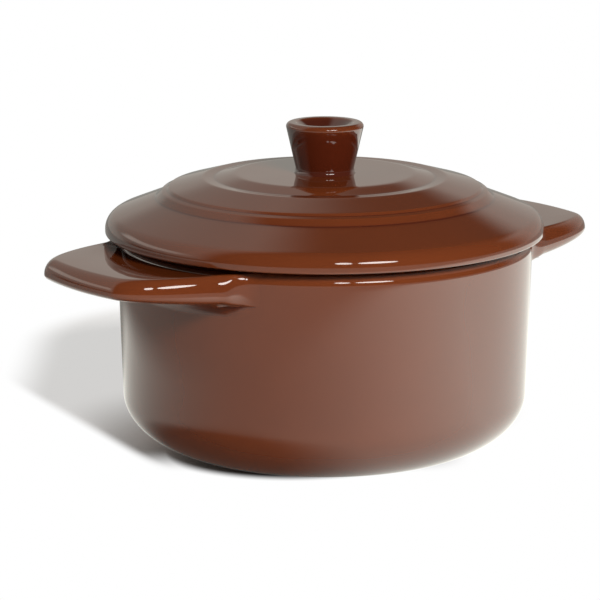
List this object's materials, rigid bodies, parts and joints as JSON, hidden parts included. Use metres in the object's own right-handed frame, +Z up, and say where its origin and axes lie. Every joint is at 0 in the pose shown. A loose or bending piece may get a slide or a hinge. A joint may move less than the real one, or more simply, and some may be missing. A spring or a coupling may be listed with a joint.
{
  "type": "mini cocotte",
  "caption": "Small round glazed stoneware cocotte with solid lug handles at its rim and a loose ringed lid that lifts off by a flared knob.",
  "frame": {"origin": "on the table, under the centre of the pot", "axes": "+Z up along the pot's axis, +X along the line through the two handles"},
  "size_m": [0.144, 0.1054, 0.0799],
  "materials": {
    "pot_glaze": "glossy chocolate brown glaze",
    "lid_glaze": "glossy chocolate brown glaze"
  },
  "bodies": {
    "pot": {"pot_body": "pot_glaze", "handle_left": "pot_glaze", "handle_right": "pot_glaze"},
    "lid": {"lid": "lid_glaze", "lid_knob": "lid_glaze"}
  },
  "joints": [
    {"name": "lid_lift", "type": "slide", "parent": "pot", "child": "lid", "axis": [0, 0, 1], "range_m": [0, 0.08]}
  ]
}
